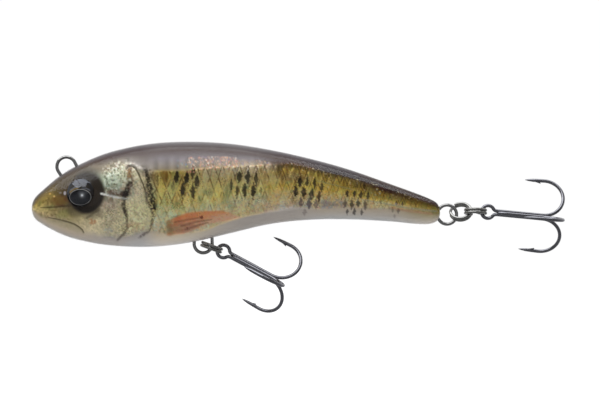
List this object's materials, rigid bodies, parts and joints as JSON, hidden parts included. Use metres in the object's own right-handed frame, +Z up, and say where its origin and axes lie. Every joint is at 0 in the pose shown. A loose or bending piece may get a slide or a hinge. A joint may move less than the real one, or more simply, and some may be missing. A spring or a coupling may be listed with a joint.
{
  "type": "fishing lure",
  "caption": "Rigid hard-bodied minnow lure with a wire line tie on the head, and treble hooks hung on split rings under the belly and at the tail.",
  "frame": {"origin": "centre of the line-tie wire loop on the head, on the body's centre plane", "axes": "+X from nose to tail, +Z up towards the back, the fish's left flank faces -Y"},
  "size_m": [0.1567, 0.0265, 0.0503],
  "materials": {
    "shell_paint": "clear plastic shell with mauve-grey back, olive flank and pearl belly paint",
    "foil": "hot-stamped scale foil, silver-gold",
    "hanger_wire": "dark bright stainless wire",
    "ring_steel": "nickel-plated spring steel",
    "hook_steel": "black-nickel plated steel",
    "ballast_metal": "plain cast weight metal",
    "rattle_plastic": "clear plastic",
    "ball_steel": "bright steel",
    "eye_silver": "silvered printed disc",
    "eye_black": "gloss black",
    "eye_dome": "clear dome"
  },
  "bodies": {
    "lure_body": {"body_shell_left": "shell_paint", "body_shell_right": "shell_paint", "foil_insert_left": "foil", "foil_insert_right": "foil", "nose_line_tie": "hanger_wire", "belly_hanger": "hanger_wire", "tail_hanger": "hanger_wire", "ballast_front": "ballast_metal", "ballast_mid": "ballast_metal", "ballast_rear": "ballast_metal", "rattle_tube": "rattle_plastic", "rattle_plug": "rattle_plastic", "eye_base_left": "eye_silver", "eye_base_right": "eye_silver", "eye_pupil_left": "eye_black", "eye_pupil_right": "eye_black", "eye_lens_left": "eye_dome", "eye_lens_right": "eye_dome"},
    "loose_ball": {"rattle_ball": "ball_steel"},
    "belly_ring": {"belly_split_ring": "ring_steel"},
    "belly_hook": {"belly_treble_double": "hook_steel", "belly_treble_third": "hook_steel"},
    "tail_ring_front": {"tail_split_ring_front": "ring_steel"},
    "tail_ring_rear": {"tail_split_ring_rear": "ring_steel"},
    "tail_hook": {"tail_treble_double": "hook_steel", "tail_treble_third": "hook_steel"}
  },
  "joints": [
    {"name": "rattle_slide", "type": "slide", "parent": "lure_body", "child": "loose_ball", "axis": [1, 0, 0], "range_m": [0, 0.0127]},
    {"name": "belly_ring_swing", "type": "hinge", "parent": "lure_body", "child": "belly_ring", "pos_m": [0.04015, 0, -0.0227], "axis": [0, 1, 0], "range_deg": [-4, 95]},
    {"name": "belly_hook_swing", "type": "hinge", "parent": "belly_ring", "child": "belly_hook", "pos_m": [0.04262, 0, -0.02369], "axis": [0.342, 0, 0.9397], "range_deg": [-45, 45]},
    {"name": "tail_ring_front_swing", "type": "hinge", "parent": "lure_body", "child": "tail_ring_front", "pos_m": [0.11169, 0, -0.01412], "axis": [0, 1, 0], "range_deg": [-50, 50]},
    {"name": "tail_ring_rear_swing", "type": "hinge", "parent": "tail_ring_front", "child": "tail_ring_rear", "pos_m": [0.11572, 0.00011, -0.01332], "axis": [-0.096, -0.7201, 0.6871], "range_deg": [-30, 30]},
    {"name": "tail_hook_swing", "type": "hinge", "parent": "tail_ring_rear", "child": "tail_hook", "pos_m": [0.12003, -0.00021, -0.01324], "axis": [0.017, 0.117, 0.993], "range_deg": [-45, 45]}
  ]
}
